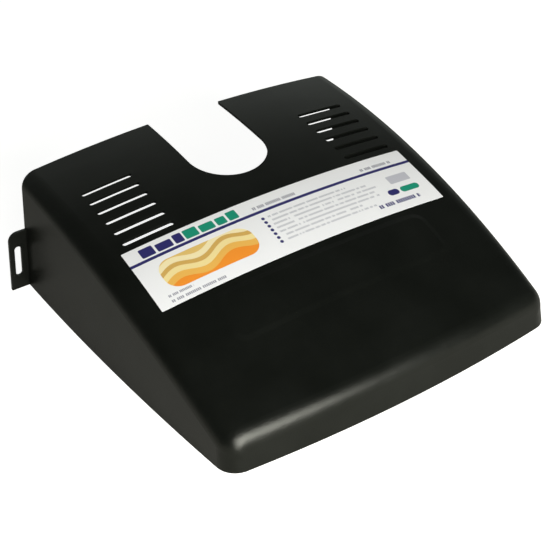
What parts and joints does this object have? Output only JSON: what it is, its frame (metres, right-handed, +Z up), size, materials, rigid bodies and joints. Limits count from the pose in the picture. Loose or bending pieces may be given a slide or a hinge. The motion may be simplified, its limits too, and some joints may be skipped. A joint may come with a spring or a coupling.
{
  "type": "drain gully cover",
  "caption": "Black moulded hood that covers an open drain gully at the foot of a wall, with a notch for a downpipe, overflow slots and slotted fixing tabs.",
  "frame": {"origin": "on the ground, under the middle of the cover's box", "axes": "+X along the wall, +Y towards the wall that the open back stands against, +Z up"},
  "size_m": [0.372, 0.3224, 0.1143],
  "materials": {
    "cover": "black moulded polypropylene with a satin sheen",
    "label": "white coated paper with printed fields of colour"
  },
  "bodies": {
    "root": {"cover": "cover", "label": "label"}
  },
  "joints": []
}
